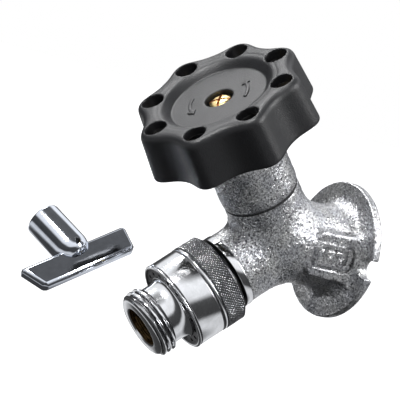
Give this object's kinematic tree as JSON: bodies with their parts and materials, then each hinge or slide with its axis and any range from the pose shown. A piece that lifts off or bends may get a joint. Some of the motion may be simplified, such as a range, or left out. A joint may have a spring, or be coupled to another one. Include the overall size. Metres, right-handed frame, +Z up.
{
  "type": "hose bib",
  "caption": "Flanged angle hose bib with a lobed black handwheel, a hose-thread vacuum breaker and a loose tee key.",
  "frame": {"origin": "centre of the flange's wall face, on the inlet axis", "axes": "+Y into the wall along the inlet, +Z up, +X to the right when facing the wall"},
  "size_m": [0.0864, 0.1194, 0.1262],
  "materials": {
    "cast_chrome": "rough cast, chrome plated",
    "polished_chrome": "polished chrome plate",
    "key_chrome": "polished chrome plate",
    "black_plastic": "moulded, fine grain",
    "brass": "machined",
    "dark_steel": "sheared end",
    "bright_steel": "bright",
    "rubber": "black rubber",
    "graphite_fibre": "pressed graphite fibre",
    "white_plastic": "moulded"
  },
  "bodies": {
    "valve": {"body_casting": "cast_chrome", "seat_ring": "brass", "bonnet": "cast_chrome", "bonnet_gasket": "graphite_fibre", "packing_ring": "graphite_fibre", "packing_gland": "brass", "packing_nut": "brass", "breaker_body": "polished_chrome", "inlet_washer": "rubber", "set_screw": "dark_steel", "breaker_shell": "polished_chrome", "body_o_ring": "rubber", "diaphragm": "rubber", "nozzle": "polished_chrome", "guide_spider": "brass", "check_spring": "bright_steel"},
    "washer_carrier": {"seat_washer": "rubber", "washer_holder": "brass", "washer_screw": "brass"},
    "spindle": {"stem": "brass", "handwheel": "black_plastic", "handle_screw": "brass"},
    "check_poppet": {"check_disc": "white_plastic", "check_stem": "bright_steel"},
    "key": {"tee_key": "key_chrome"}
  },
  "joints": [
    {"name": "stem_rise", "type": "slide", "parent": "valve", "child": "washer_carrier", "axis": [0, -0.7193, 0.6947], "range_m": [0, 0.00635]},
    {"name": "handwheel_turn", "type": "hinge", "parent": "washer_carrier", "child": "spindle", "pos_m": [0, -0.0288, 0], "axis": [0, -0.7193, 0.6947], "range_deg": [0, 720]},
    {"name": "check_lift", "type": "slide", "parent": "valve", "child": "check_poppet", "axis": [0, -0.7193, -0.6947], "range_m": [0, 0.003], "stiffness_N_per_m": 300, "springref_m": -0.004, "deforming": ["check_spring"]},
    {"name": "key_aside", "type": "slide", "parent": "valve", "child": "key", "axis": [-1, 0, 0], "range_m": [0, 0.06]}
  ],
  "couplings": [
    {"joint": "stem_rise", "follows": "handwheel_turn", "m_per_rad": 0.00050532}
  ]
}
